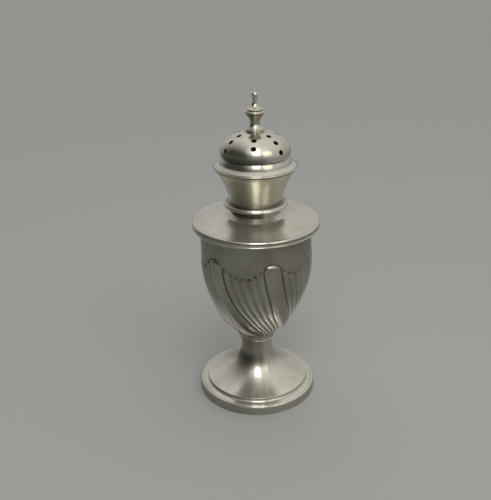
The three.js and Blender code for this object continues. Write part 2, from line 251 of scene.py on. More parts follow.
def finished(name, vertices, faces):
    """A smooth mesh object, facing out, with its sharp edges kept."""
    mesh = bpy.data.meshes.new(name)
    mesh.from_pydata([(x * MM, y * MM, height * MM) for x, y, height in vertices], [], faces)
    shape = bmesh.new()
    shape.from_mesh(mesh)
    bmesh.ops.recalc_face_normals(shape, faces=shape.faces)
    shape.to_mesh(mesh)
    shape.free()
    smooth(mesh)
    piece = bpy.data.objects.new(name, mesh)
    bpy.context.scene.collection.objects.link(piece)
    return piece


def paint(piece, name, values):
    layer = piece.data.attributes.new(name, "FLOAT", "POINT")
    layer.data.foreach_set("value", values)


def placed(turn, radius, height):
    """A point at a turn in radians to the right of the front."""
    return radius * math.sin(turn), -radius * math.cos(turn), height


def between(low, high):
    """The faces between two rings of vertices, either of which may be one vertex on the axis."""
    count = max(len(low), len(high))
    faces = []
    for place in range(count):
        beside = (place + 1) % count
        if len(low) == 1:
            faces.append((low[0], high[beside], high[place]))
        elif len(high) == 1:
            faces.append((low[place], low[beside], high[0]))
        else:
            faces.append((low[place], low[beside], high[beside], high[place]))
    return faces


def turned(name, outline, segments=WIDE_SEGMENTS, tarnish_and_shade=None):
    """Turns an outline round Z. It closes on itself, or starts and ends on the axis.

    The last argument gives how dark a place is painted, 0 to 1, by turn and height: tarnishing and painted
    shade.
    """
    vertices = []
    rings = []
    for radius, height in braced(outline):
        if radius < TINY:
            rings.append([len(vertices)])
            vertices.append((0.0, 0.0, height))
            continue
        rings.append(list(range(len(vertices), len(vertices) + segments)))
        for segment in range(segments):
            vertices.append(placed(2 * math.pi * segment / segments, radius, height))
    faces = []
    open_ended = len(rings[0]) == 1
    for low, high in zip(rings, rings[1:] if open_ended else rings[1:] + rings[:1]):
        faces += between(low, high)
    piece = finished(name, vertices, faces)
    if tarnish_and_shade is not None:
        shades = [tarnish_and_shade(math.degrees(math.atan2(x, -y)), height) for x, y, height in vertices]
        paint(piece, "tarnish_and_shade", shades)
    return piece


def stand_for(piece, node, material):
    piece.data.materials.append(material)
    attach(piece, BODY_OF[node])
    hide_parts(node)


# Foot


def foot_band():
    outer = radius_of("foot_band")
    top = top_of("foot_band")
    wall = 1.2
    taper = 0.2
    outline = [(outer - wall, 0.0), (outer, 0.0), (outer - taper, top), (outer - wall, top)]
    return turned("foot_band_fine", softened(outline), tarnish_and_shade=lambda turn, height: 0.42)


def foot_moulding():
    """The rounded edge, a fine groove behind it, the tread, and the cove up to the trumpet."""
    base = base_of("foot_moulding")
    top = top_of("foot_moulding")
    edge = radius_of("foot_moulding")
    trumpet = radius_of("foot_dome")
    seat = trumpet - 2 * SHEET
    lip_top = base + 0.75
    groove = 0.16
    outline = [(seat + SHEET, base)]
    outline += bend((edge, base), (edge, lip_top), (edge - SHEET, lip_top))
    outline += [
        (edge - SHEET - groove, lip_top - groove),
        (edge - SHEET - 2 * groove, lip_top - 0.02),
    ]
    outline += bend((trumpet + 1.0, lip_top + 0.3), (trumpet + 0.05, lip_top + 0.3), (trumpet, top))
    outline += [(seat, top), (seat, top - SHEET)]
    return turned("foot_moulding_fine", softened(outline, size=0.08))


def foot_dome():
    """The trumpet of sheet, from the foot up into the stem."""
    base = base_of("foot_dome")
    top = top_of("foot_dome")
    outer = radius_of("foot_dome")
    stem = STEM_RADIUS
    edge = base + 0.7
    steps = 48
    spread = 3.4
    seat = outer - 2 * SHEET

    def flared(radius, level, reach):
        points = []
        for step in range(steps + 1):
            share = step / steps
            points.append((radius + reach * (1 - share) ** spread, mix(level, top, share)))
        return points

    outline = [(seat, base), (outer, base), (outer, edge)]
    outline += flared(stem, edge + 0.06, outer - stem - 0.16)
    outline += list(reversed(flared(stem - SHEET, base + 0.02, seat - stem + SHEET)))

    dark_from = 11.5
    paler_from = 16
    fade = 4
    lighter_turn = 15
    side_fade = 20

    def stem_dark_reflection(turn, height):
        """Painted dark reflection from above the flare, paler higher up and on the right."""
        depth = eased((height - dark_from) / fade) * mix(0.95, 0.6, eased((height - paler_from) / fade))
        return depth * mix(1.0, 0.4, eased((turn - lighter_turn) / side_fade))

    return turned("foot_dome_fine", softened(outline, size=0.1), tarnish_and_shade=stem_dark_reflection)


def bowl_boss():
    """The spigot in the stem, the ring on top of the stem, and the waist under the bowl."""
    base = base_of("bowl_boss")
    top = top_of("bowl_boss") + BOWL_RAISE
    stem_top = top_of("foot_dome")
    stem = STEM_RADIUS
    spigot = stem - SHEET - 0.12
    ring = stem + 1.5
    ring_level = stem_top + 1.15
    outline = [(0.0, base), (spigot, base), (spigot, stem_top), (stem + 0.05, stem_top)]
    outline += bend(
        (stem + 0.08, stem_top + 0.3), (stem + 0.25, ring_level - 0.35), (ring - 0.15, ring_level - 0.2))
    outline += bend(
        (ring - 0.1, ring_level - 0.16), (ring + 0.1, ring_level), (ring - 0.1, ring_level + 0.18), steps=8)
    outline += [(ring - 0.42, ring_level + 0.38), (ring - 0.42, ring_level + 0.5)]
    outline += bend((ring - 0.36, ring_level + 0.56), (ring - 0.4, top - 1.1), (ring + 0.4, top))
    outline += [(0.0, top)]

    # Painted shade close under the bowl and below the ring, a pale ring, and plain darkening elsewhere.
    def boss_tarnish_and_shade(turn, height):
        if abs(height - ring_level) < 0.22:
            return 0.1
        return 0.85 if height > top - 0.7 or height < ring_level else 0.4

    return turned("bowl_boss_fine", softened(outline, size=0.06, closed=False), tarnish_and_shade=boss_tarnish_and_shade)


# Bowl


BOWL_BASE = base_of("bowl") + BOWL_RAISE
BOWL_TOP = top_of("bowl")
BOWL_FLOOR = BOWL_BASE + 1.6
BOWL_RADIUS = radius_of("bowl_bead") - 0.1
BOWL_LINING = BOWL_RADIUS - FLUTE_GROOVE - SHEET
BELLY = BOWL_TOP - BELLY_DROP
ARCH_SPRING = BOWL_TOP - PLAIN_BAND - ARCH_RISE


def bowl_wall(height):
    """The bowl's radius without its flutes."""
    depth = max(0.0, BELLY - height) / (BELLY - BOWL_BASE + TIP_DEPTH)
    tuck = TIP_TUCK * eased((BOWL_BASE + TUCK_HEIGHT - height) / TUCK_LENGTH)
    return BOWL_RADIUS * (1 - depth ** FULLNESS) ** ROUNDNESS - tuck


def swirl(height):
    """How far the flutes have turned at a height, in degrees."""
    return SWIRL_TURN * (math.exp((BELLY - height) / SWIRL_LENGTH) - 1)


# A column of the bowl runs from its flute's top to the base. It has its turn and how far it spreads lower
# down, the top of its flute, its place between groove (0) and crown (1), the height of that crown, the depth
# of the border above it and the length of the ramp out of it, how stained and painted with shade its groove
# is, and how much wear and painted sheen its lower crown shows.


def lobe_columns(centre):
    """The columns of one broad lobe, round the turn of its centre."""
    columns = []
    for step in range(LOBE_STEPS):
        across = -math.cos(math.pi * step / LOBE_STEPS)
        arch = math.sqrt(max(0.0, 1 - across ** 2))
        columns.append({
            "turn": centre + across * LOBE_WIDTH / 2,
            "spread": across,
            "top": ARCH_SPRING + ARCH_RISE * arch,
            "crown": arch,
            "rise": LOBE_SWELL,
            "border": LOBE_BORDER,
            "ramp": 1.35,
            "stain_and_shade": 1.0,
            # Painted sheen, on the left side of each lobe only
            "shine": eased((-0.25 - across) / 0.3),
        })
    return columns


def garland_columns(start, width):
    """The columns of one group of narrow flutes, from a turn and for the width of one of them."""
    columns = []
    for flute in range(NARROW_FLUTES):
        for step in range(FLUTE_STEPS):
            across = -math.cos(math.pi * step / FLUTE_STEPS)
            along = (flute + 0.5 + across / 2) / NARROW_FLUTES
            from_middle = 2 * along - 1
            dash = eased(0.5 - 0.8 * math.cos(2 * math.pi * GARLAND_DASHES * along))
            columns.append({
                "turn": start + along * width * NARROW_FLUTES,
                "spread": -from_middle,
                "top": ARCH_SPRING - GARLAND_DIP * (1 - from_middle ** 2) + DASH_RISE * dash,
                "crown": 0.5 + 0.5 * math.cos(math.pi * across),
                "rise": FLUTE_RISE,
                "border": mix(0.04, 0.38, dash),
                "ramp": 1.1,
                # The grooves at the lobe borders are painted darkest, as stain and painted shade
                "stain_and_shade": mix(0.25, 1.0, eased((abs(from_middle) - 0.9) / 0.1)),
                "shine": 1.0,
            })
    return columns


def bowl_columns():
    columns = []
    for index, centre in enumerate(LOBE_TURNS):
        following = LOBE_TURNS[index + 1] if index + 1 < len(LOBE_TURNS) else LOBE_TURNS[0] + 360
        start = centre + LOBE_WIDTH / 2
        width = (following - LOBE_WIDTH / 2 - start) / NARROW_FLUTES
        columns += lobe_columns(centre)
        columns += garland_columns(start, width)
    return columns


# A place on the bowl is its turn, radius, height, darkness of tarnishing and painted shade, and shine of
# wear and painted sheen.


def fluted(column, depth):
    """The place on a column at a depth below its flute's top."""
    height = column["top"] - depth
    wall = bowl_wall(height)
    share = eased(depth / column["ramp"])
    low = eased((BELLY - LOW_DROP - height) / LOW_LENGTH)
    rise = column["rise"] + LOW_RISE * low
    flute = (rise + FLUTE_GROOVE) * column["crown"] ** mix(1.2, 0.8, low) - FLUTE_GROOVE
    relief = mix(-column["border"], flute, share) * (wall / BOWL_RADIUS) ** mix(0.6, 0.2, low)
    stain_and_shade = max(column["stain_and_shade"], 0.55 * low)
    # Grooves and borders are painted dark by their depth: part tarnishing in the hollows, part painted shade.
    shade = eased((0.02 - relief) / TARNISH_AND_SHADE_DEPTH) * mix(1.0, stain_and_shade, share) * mix(1.0, 0.8, low)
    # Lower crowns are painted bright: part wear, part painted sheen.
    polish_and_sheen = column["shine"] * low * eased((relief + 0.18) / 0.3)
    turn = column["turn"] + low * LOBE_SPREAD * column["spread"] + swirl(height)
    return turn, wall + relief, height, shade, polish_and_sheen


def plain(column, rise):
    """The place on the plain band at a rise above a column's flute. The band is painted with shade, a little
    all round and more away from its front.
    """
    bright_front = 15
    side_fade = 45
    height = column["top"] + rise
    depth = column["border"] * (1 - eased(rise / BORDER_FADE))
    turn = column["turn"] + swirl(column["top"])
    from_front = abs((turn + 180) % 360 - 180)
    band_shade = mix(0.12, 0.28, eased((from_front - bright_front) / side_fade))
    shade = max(eased(depth / TARNISH_AND_SHADE_DEPTH), band_shade)
    return turn, bowl_wall(height) - depth, height, shade, 0.0


def lining(column, height):
    """The place on the inner wall at a height."""
    return column["turn"], bowl_wall(height) - FLUTE_GROOVE - SHEET, height, 0.3, 0.0


def bowl_rings():
    """The bowl's rings of places, from its base up the outside and down the inside."""
    columns = bowl_columns()
    near_depths = (0.0, 0.1, 0.22, 0.36, 0.52, 0.7, 0.92, 1.2, 1.55, 2.0)
    band_rises = (0.1, 0.22, 0.38, 0.6, 1.0, 1.8)
    far_rows = 84
    band_rows = 6
    inner_rows = 28
    rings = []
    for row in range(far_rows):
        share = row / far_rows
        depths = [mix(column["top"] - BOWL_BASE, near_depths[-1], share) for column in columns]
        rings.append([fluted(column, depth) for column, depth in zip(columns, depths)])
    for depth in reversed(near_depths):
        rings.append([fluted(column, depth) for column in columns])
    for rise in band_rises:
        rings.append([plain(column, rise) for column in columns])
    for row in range(1, band_rows + 1):
        share = row / band_rows
        rises = [mix(band_rises[-1], BOWL_TOP - column["top"], share) for column in columns]
        rings.append([plain(column, rise) for column, rise in zip(columns, rises)])
    for row in range(inner_rows + 1):
        height = mix(BOWL_TOP, BOWL_FLOOR, (row / inner_rows) ** 0.8)
        rings.append([lining(column, height) for column in columns])
    return rings


def bowl():
    """The urn, hollow, with its flutes, its garland and the plain band above them."""
    rings = bowl_rings()
    count = len(rings[0])
    vertices = []
    tarnish_and_shade = []
    worn_and_sheen = []
    for ring in rings:
        for turn, radius, height, shade, polish_and_sheen in ring:
            vertices.append(placed(math.radians(turn), radius, height))
            tarnish_and_shade.append(shade)
            worn_and_sheen.append(polish_and_sheen)
    starts = range(0, len(vertices), count)
    loops = [list(range(start, start + count)) for start in starts]
    under = len(vertices)
    vertices += [(0.0, 0.0, BOWL_BASE), (0.0, 0.0, BOWL_FLOOR)]
    tarnish_and_shade += [0.5, 0.3]
    worn_and_sheen += [0.0, 0.0]
    loops = [[under]] + loops + [[under + 1]]
    faces = []
    for low, high in zip(loops, loops[1:]):
        faces += between(low, high)
    piece = finished("bowl_fine", vertices, faces)
    paint(piece, "tarnish_and_shade", tarnish_and_shade)
    paint(piece, "worn_and_sheen", worn_and_sheen)
    return piece


def bowl_bead():
    half = (top_of("bowl_bead") - BOWL_TOP) / 2
    outer = radius_of("bowl_bead")
    outline = [(BOWL_LINING, BOWL_TOP), (outer - half, BOWL_TOP)]
    outline += arc((outer - half, BOWL_TOP + half), half, half, -90, 90)[1:-1]
    outline += [(outer - half, BOWL_TOP + 2 * half), (BOWL_LINING, BOWL_TOP + 2 * half)]
    return turned("bowl_bead_fine", outline)


# Shoulder and neck


def shoulder():
    """The wide disc with the lower roll of its rim, and the rise into the neck."""
    base = base_of("shoulder")
    top = top_of("shoulder")
    outer = radius_of("shoulder")
    seat = base_of("shoulder_lip")
    bead = radius_of("bowl_bead") - 0.4
    lip_inner = outer - LIP_WIDTH
    neck = NECK_RADIUS
    disc_top = seat + LIP_STEP
    corner = 80.9
    slope = (corner - disc_top) / (lip_inner - neck)
    fillet_edge = neck + 1.9
    fillet_base = disc_top + slope * (lip_inner - fillet_edge)
    fillet_top = corner + 1.25
    bore = neck - SHEET
    edge = outer + RIM_OVERHANG
    outline = [(BOWL_LINING, base), (bead, base)]
    outline += bend((bead + 0.1, base + 0.02), (edge - 0.1, base + 0.05), (edge + 0.05, seat - 0.8))
    outline += [(edge + 0.05, seat - 0.72), (edge - 0.09, seat - 0.54), (edge - 0.1, seat)]
    outline += [(lip_inner, seat), (lip_inner, disc_top)]
    outline += bend((fillet_edge, fillet_base), (neck + 0.75, corner + 0.45), (neck + 0.1, fillet_top))
    outline += [(neck, fillet_top + 0.02), (neck, top), (bore, top)]
    outline += bend((bore, fillet_top - SHEET), (bore, corner - SHEET), (fillet_edge, fillet_base - SHEET))
    outline += [(BOWL_LINING, disc_top + slope * (lip_inner - BOWL_LINING) - SHEET)]

    lighter_turn = 12
    side_fade = 12

    def shoulder_darkening(turn, height):
        """Darker on the left of the neck, and a little painted shade in the groove under the rim."""
        if height > fillet_top:
            return mix(0.95, 0.25, eased((turn - lighter_turn) / side_fade))
        return 0.4 if seat - 0.5 < height < seat + 0.01 else 0.0

    return turned("shoulder_fine", softened(outline, size=0.05), tarnish_and_shade=shoulder_darkening)


def shoulder_lip():
    """The upper half of the rim's edge: a roll flush with the disc, and a thin groove under it."""
    base = base_of("shoulder_lip")
    inner = radius_of("shoulder") - LIP_WIDTH
    edge = radius_of("shoulder") + RIM_OVERHANG
    crest = base + LIP_STEP
    groove = base + 0.55
    outline = [(inner, base), (edge - 0.1, base), (edge - 0.08, groove - 0.16), (edge - 0.42, groove)]
    outline += bend(
        (edge - 0.06, groove + 0.14), (edge + 0.06, groove + 0.2), (edge + 0.04, groove + 0.28), steps=6)
    outline += bend((edge - 0.32, crest), (edge - 0.4, crest + 0.08), (edge - 1.0, crest + 0.02), steps=6)
    outline += [(inner, crest)]

    # Painted shade below the lip's groove.
    def lip_shade(turn, height):
        return 0.4 if height < groove - 0.05 else 0.0

    return turned("shoulder_lip_fine", outline, tarnish_and_shade=lip_shade)


def neck_ring():
    """A round moulding on a short waist, with a recess inside for the cover's flange."""
    base = base_of("neck_ring")
    crest = top_of("neck_ring")
    outer = radius_of("neck_ring")
    seat = base_of("cover_collar") - 0.4
    bore = 9.1
    neck = NECK_RADIUS
    bead_base = base + 0.95
    recess = radius_of("cover_bezel") + 0.15
    outline = [(bore, base), (neck + 0.05, base)]
    outline += bend((neck + 0.1, base + 0.05), (neck + 0.35, bead_base - 0.2), (outer - 0.4, bead_base))
    outline += bend(
        (outer - 0.05, bead_base + 0.15), (outer + 0.12, bead_base + 0.6), (outer - 0.65, crest - 0.06))
    outline += [(outer - 0.9, crest), (recess + 0.25, crest - 0.05), (recess + 0.12, seat), (bore, seat)]

    # Painted shade on the waist under the round moulding.
    def waist_shade(turn, height):
        return 0.6 if height < bead_base - 0.02 else 0.0

    return turned("neck_ring_fine", softened(outline, size=0.05), tarnish_and_shade=waist_shade)


# Cover


DOME_RADIUS = radius_of("dome")
DOME_CENTRE = base_of("dome") + 1.15
DOME_FOOT = DOME_CENTRE - DOME_DROP
DOME_FOOT_RADIUS = DOME_RADIUS * math.sqrt(1 - (DOME_DROP / DOME_RISE) ** 2)
CROWN_TOP = top_of("dome")


def cover_bezel():
    """The sleeve that slips into the neck, and the thin flange that rests on the neck ring."""
    base = base_of("cover_bezel")
    top = top_of("cover_bezel")
    flange = radius_of("cover_bezel")
    seat = top - 0.4
    sleeve = 8.95
    bore = 8.2
    outline = [(bore, base), (sleeve - 0.15, base), (sleeve, base + 0.75), (sleeve, seat), (flange, seat)]
    outline += [(flange, top), (bore, top)]
    return turned("cover_bezel_fine", softened(outline, size=0.08))


def cover_collar():
    base = base_of("cover_collar")
    top = top_of("cover_collar")
    mouth = radius_of("cover_collar")
    foot = 10.5
    height = top - base
    low = base + 0.3 * height
    high = base + 0.77 * height
    wall = 1.6 * SHEET
    outline = sweep((foot, base), (foot + 0.85, low), (mouth - 3.2, high), (mouth, top))
    inside = sweep(
        (foot - SHEET, base), (foot + 0.85 - SHEET, low), (mouth - 3.2 - SHEET, high), (mouth - wall, top))
    outline += list(reversed(inside))
    return turned("cover_collar_fine", softened(outline, size=0.06))


def girdle():
    """A sloping flange, and a quarter-round moulding that steps in under the dome."""
    base = base_of("girdle")
    wire_seat = base_of("girdle_wire")
    edge = radius_of("girdle_wire")
    wire_inner = edge - WIRE_WIDTH
    throat = DOME_FOOT_RADIUS - 0.85
    bore = throat - 0.9
    moulding = DOME_FOOT_RADIUS + 0.45
    moulding_base = base + 2.2
    outline = [(bore, base), (edge - 0.4, base), (edge - 0.3, wire_seat - 0.12), (edge - 0.3, wire_seat)]
    outline += [(wire_inner, wire_seat), (wire_inner, wire_seat + WIRE_RISE), (moulding, moulding_base)]
    outline += bend(
        (moulding, moulding_base + 0.04),
        (moulding - 0.3, moulding_base + 1.4),
        (throat - 0.1, DOME_FOOT - 0.15))
    outline += [(throat, DOME_FOOT + 0.02), (bore, DOME_FOOT + 0.02)]

    # Painted shade under the flange's edge, below the wire.
    def under_edge_shade(turn, height):
        return 0.9 if height < wire_seat + 0.01 else 0.0

    return turned("girdle_fine", softened(outline, size=0.05), tarnish_and_shade=under_edge_shade)


def girdle_wire():
    """The flange's thin rolled edge, with a groove inside it."""
    base = base_of("girdle_wire")
    edge = radius_of("girdle_wire")
    inner = edge - WIRE_WIDTH
    groove = edge - 0.42
    outline = [(inner, base), (edge - 0.1, base + 0.02)]
    outline += bend(
        (edge - 0.02, base + 0.1), (edge + 0.08, base + 0.45), (edge - 0.26, base + 0.5), steps=10)
    outline += [(groove, base + 0.2), (groove - 0.14, base + 0.55), (inner, base + WIRE_RISE)]
    return turned("girdle_wire_fine", softened(outline, size=0.04))


def hole_cutter(name, turn, rise):
    """A punch square to the dome, flared where it meets the outer face so that the hole's rim is eased."""
    angle = math.radians(rise)
    surface = Vector((DOME_RADIUS * math.cos(angle), 0.0, DOME_RISE * math.sin(angle)))
    normal = Vector((math.cos(angle) / DOME_RADIUS, 0.0, math.sin(angle) / DOME_RISE)).normalized()
    rim = 0.06
    mouth = HOLE_RADIUS + 1.2 * rim
    outline = [(0.0, -2.0), (HOLE_RADIUS, -2.0), (HOLE_RADIUS, -2 * rim), (HOLE_RADIUS + 0.25 * rim, -rim)]
    outline += [(HOLE_RADIUS + 0.9 * rim, 0.0), (mouth, 0.3 * rim), (mouth, 1.0), (0.0, 1.0)]
    cutter = turned(name, outline, segments=HOLE_SEGMENTS)
    tilt = Matrix.Rotation(math.atan2(normal.x, normal.z), 4, "Y")
    around = Matrix.Rotation(math.radians(turn - 90), 4, "Z")
    raised = Matrix.Translation((0.0, 0.0, DOME_CENTRE * MM))
    cutter.data.transform(raised @ around @ Matrix.Translation(surface * MM) @ tilt)
    return cutter


def hole_cutters():
    """A punch for each pouring hole, in columns of three and two in turn."""
    cutters = []
    for column, turn in enumerate(HOLE_TURNS):
        for rise in SHORT_COLUMN if column % 2 else LONG_COLUMN:
            cutters.append(hole_cutter(f"cutter_{len(cutters)}", turn, rise))
    return cutters


def joined(pieces):
    """One mesh object of several that don't touch."""
    shape = bmesh.new()
    for piece in pieces:
        shape.from_mesh(piece.data)
        bpy.data.objects.remove(piece)
    mesh = bpy.data.meshes.new("joined")
    shape.to_mesh(mesh)
    shape.free()
    result = bpy.data.objects.new("joined", mesh)
    bpy.context.scene.collection.objects.link(result)
    return result


def pierced(piece, cutter):
    cut = piece.modifiers.new("holes", "BOOLEAN")
    cut.operation = "DIFFERENCE"
    cut.solver = "EXACT"
    cut.object = cutter
    bpy.context.view_layer.update()
    evaluated = piece.evaluated_get(bpy.context.evaluated_depsgraph_get())
    mesh = bpy.data.meshes.new_from_object(evaluated)
    piece.modifiers.clear()
    piece.data = mesh
    smooth(mesh)
    bpy.data.objects.remove(cutter)
    return piece


def dome():
    """The pierced shell of sheet, with a bore in its crown for the finial's tang."""
    crown_under = CROWN_TOP - SHEET
    bore = 1.3
    low = -math.degrees(math.asin(DOME_DROP / DOME_RISE))
    high = math.degrees(math.asin((CROWN_TOP - DOME_CENTRE) / DOME_RISE))
    inner_rise = DOME_RISE - SHEET
    inner_low = -math.degrees(math.asin(DOME_DROP / inner_rise))
    inner_high = math.degrees(math.asin((crown_under - DOME_CENTRE) / inner_rise))
    outline = arc((0.0, DOME_CENTRE), DOME_RADIUS, DOME_RISE, low, high, steps=48)
    outline += [(bore, CROWN_TOP), (bore, crown_under)]
    outline += arc((0.0, DOME_CENTRE), DOME_RADIUS - SHEET, inner_rise, inner_high, inner_low, steps=30)

    def dome_dark_reflection(turn, height):
        """Painted dark reflection round the foot of the dome, from its left to its front."""
        from_foot = eased((DOME_FOOT + 3.4 - height) / 2.4)
        from_left = eased((turn + 80) / 25)
        before_right = eased((40 - turn) / 40)
        return from_foot * before_right * from_left

    shell = turned("dome_fine", outline, tarnish_and_shade=dome_dark_reflection)
    return pierced(shell, joined(hole_cutters()))


def finial_base(seat):
    """The thin mouldings that the finial stands on."""
    outline = [(4.05, seat), (3.97, seat + 0.2), (3.58, seat + 0.3), (3.55, seat + 0.42)]
    outline += bend((3.78, seat + 0.48), (3.9, seat + 0.68), (3.6, seat + 0.84), steps=6)
    outline += [(3.22, seat + 0.88), (3.2, seat + 0.98)]
    return outline


def finial_cup(seat):
    """The waist, the cup that flares from it, and the cup's thin mouldings."""
    outline = sweep(
        (3.48, seat + 1.04), (2.75, seat + 1.75), (1.92, seat + 2.3), (1.92, seat + 3.6))
    outline += sweep(
        (1.92, seat + 3.6), (1.94, seat + 4.9), (2.75, seat + 5.7), (3.6, seat + 6.72))[1:]
    outline += [(3.32, seat + 6.86), (3.36, seat + 6.98)]
    outline += bend((3.7, seat + 7.05), (4.35, seat + 7.5), (3.95, seat + 7.98), steps=10)
    outline += [(3.7, seat + 8.14), (3.4, seat + 8.24), (3.12, seat + 8.38), (3.14, seat + 8.5)]
    outline += [(3.42, seat + 8.66), (2.9, seat + 8.98)]
    return outline


def finial_tip(seat):
    """The spire above the cup, its collar, and the ball on top."""
    outline = sweep(
        (2.9, seat + 8.98), (2.1, seat + 9.4), (1.02, seat + 9.9), (0.95, seat + 11.4))[1:]
    outline += [(0.91, seat + 12.4), (1.06, seat + 12.56), (1.06, seat + 12.82), (0.78, seat + 12.95)]
    ball = 1.24
    neck = 0.76
    ball_centre = top_of("finial") - ball
    start = -math.degrees(math.acos(neck / ball))
    outline += arc((0.0, ball_centre), ball, ball, start, 90)[:-1]
    outline += [(0.0, ball_centre + ball)]
    return outline


def finial():
    """The rivet head and tang inside the dome, and the turned knob on top of it."""
    base = base_of("finial")
    seat = CROWN_TOP
    crown_under = CROWN_TOP - SHEET
    head = 2.0
    tang = 1.2
    outline = bend((0.0, base), (head, base), (head, crown_under))
    outline += [(tang, crown_under), (tang, seat)]
    outline += finial_base(seat) + finial_cup(seat) + finial_tip(seat)

    def cup_tarnish(turn, height):
        return 0.4 if seat + 2.6 < height < seat + 6.85 else 0.0

    soft_outline = softened(outline, size=0.07, closed=False)
    return turned("finial_fine", soft_outline, segments=SMALL_SEGMENTS, tarnish_and_shade=cup_tarnish)


# Materials


class Nodes:
    """Short calls for building one node tree."""

    def __init__(self, tree):
        self.tree = tree

    def add(self, kind, **settings):
        node = self.tree.nodes.new(kind)
        for name, value in settings.items():
            setattr(node, name, value)
        return node

    def link(self, source, target):
        self.tree.links.new(source, target)

    def noise(self, vector, scale, detail):
        node = self.add("ShaderNodeTexNoise")
        self.link(vector, node.inputs["Vector"])
        node.inputs["Scale"].default_value = scale
        node.inputs["Detail"].default_value = detail
        node.inputs["Roughness"].default_value = 0.55
        return node.outputs["Fac"]

    def ranged(self, value, low, high, to_low=0.0, to_high=1.0):
        node = self.add("ShaderNodeMapRange", clamp=True)
        self.link(value, node.inputs["Value"])
        node.inputs["From Min"].default_value = low
        node.inputs["From Max"].default_value = high
        node.inputs["To Min"].default_value = to_low
        node.inputs["To Max"].default_value = to_high
        return node.outputs["Result"]

    def math(self, operation, first, second):
        node = self.add("ShaderNodeMath", operation=operation)
        for socket, value in zip(node.inputs, (first, second)):
            if isinstance(value, (int, float)):
                socket.default_value = value
            else:
                self.link(value, socket)
        return node.outputs["Value"]

    def blended(self, share, first, second):
        """Mixes two colours, each an RGB triple or a socket."""
        node = self.add("ShaderNodeMix", data_type="RGBA")
        self.link(share, node.inputs["Factor"])
        for socket, value in ((node.inputs["A"], first), (node.inputs["B"], second)):
            if isinstance(value, tuple):
                socket.default_value = (*value, 1.0)
            else:
                self.link(value, socket)
        return node.outputs["Result"]

    def bump(self, height, strength, distance, below=None):
        node = self.add("ShaderNodeBump")
        node.inputs["Strength"].default_value = strength
        node.inputs["Distance"].default_value = distance
        self.link(height, node.inputs["Height"])
        if below is not None:
            self.link(below, node.inputs["Normal"])
        return node.outputs["Normal"]

    def painted(self, name):
        return self.add("ShaderNodeAttribute", attribute_name=name).outputs["Fac"]


def darkening(nodes):
    """How black the silver is painted, in closed corners and by each piece: tarnishing and painted shade."""
    crease = nodes.add("ShaderNodeAmbientOcclusion", samples=8)
    crease.inputs["Distance"].default_value = 0.0012
    # Occlusion darkens closed corners: part tarnishing in the hollows, part painted shade.
    closed = nodes.ranged(crease.outputs["AO"], 0.9, 0.4, 0.0, 0.7)
    return nodes.math("MAXIMUM", closed, nodes.painted("tarnish_and_shade"))


def silver_colour(nodes, place, dark, clean, dull):
    """Clouds of clean and dull silver, wear and painted sheen, dark specks, tarnishing and painted shade."""
    clouds = nodes.ranged(nodes.noise(place, 70, detail=5), 0.38, 0.68)
    specks = nodes.ranged(nodes.noise(place, 420, detail=3), 0.6, 0.78)
    colour = nodes.blended(clouds, clean, dull)
    colour = nodes.blended(nodes.painted("worn_and_sheen"), colour, POLISHED_AND_SHEEN)
    spotted = nodes.math("MULTIPLY", specks, 0.35)
    colour = nodes.blended(spotted, colour, tuple(0.6 * channel for channel in dull))
    return nodes.blended(nodes.math("MULTIPLY", dark, 0.86), colour, BLACKENED_AND_SHADE)


def silver_surface(nodes, plain_place, place, streaks):
    """Soft dents, fine rings left by turning, and marks of handling."""
    parts = nodes.add("ShaderNodeSeparateXYZ")
    nodes.link(plain_place, parts.inputs[0])
    level = nodes.add("ShaderNodeCombineXYZ")
    nodes.link(parts.outputs["X"], level.inputs["X"])
    nodes.link(parts.outputs["Y"], level.inputs["Y"])
    reach = nodes.add("ShaderNodeVectorMath", operation="LENGTH")
    nodes.link(level.outputs[0], reach.inputs[0])
    ring_place = nodes.add("ShaderNodeCombineXYZ")
    nodes.link(reach.outputs["Value"], ring_place.inputs["X"])
    nodes.link(parts.outputs["Z"], ring_place.inputs["Y"])
    dents = nodes.noise(place, 95, detail=2)
    turning = nodes.noise(ring_place.outputs[0], 2600, detail=2)
    handling = nodes.noise(place, 1500, detail=4)
    normal = nodes.bump(dents, 0.35, 0.00025)
    normal = nodes.bump(turning, streaks, 0.00004, below=normal)
    return nodes.bump(handling, 0.12, 0.00003, below=normal)


def silver(name, clean, dull, shine, haze, streaks, seed, turned_grain=0.0, scatter=0.05):
    """Worn silver: clean and dull are its colours, shine and haze its roughness from low to high.

    turned_grain stretches its highlights across the fine marks that turning left round it.
    scatter is the share of light that its fine scratches send every way.
    """
    material = bpy.data.materials.new(name)
    material.use_nodes = True
    tree = material.node_tree
    nodes = Nodes(tree)
    shader = tree.nodes["Principled BSDF"]
    shader.inputs["Metallic"].default_value = 1.0 - scatter
    shader.inputs["Anisotropic"].default_value = turned_grain
    shader.inputs["Anisotropic Rotation"].default_value = 0.25
    around = nodes.add("ShaderNodeTangent", direction_type="RADIAL", axis="Z")
    nodes.link(around.outputs["Tangent"], shader.inputs["Tangent"])

    plain_place = nodes.add("ShaderNodeTexCoord").outputs["Object"]
    shifted = nodes.add("ShaderNodeVectorMath", operation="ADD")
    nodes.link(plain_place, shifted.inputs[0])
    shifted.inputs[1].default_value = (seed, -seed, 2 * seed)
    place = shifted.outputs["Vector"]

    dark = darkening(nodes)
    nodes.link(silver_colour(nodes, place, dark, clean, dull), shader.inputs["Base Color"])
    rough = nodes.ranged(nodes.noise(place, 140, detail=6), 0.3, 0.7, shine, haze)
    nodes.link(nodes.math("ADD", rough, nodes.math("MULTIPLY", dark, 0.25)), shader.inputs["Roughness"])
    nodes.link(silver_surface(nodes, plain_place, place, streaks), shader.inputs["Normal"])
    return material


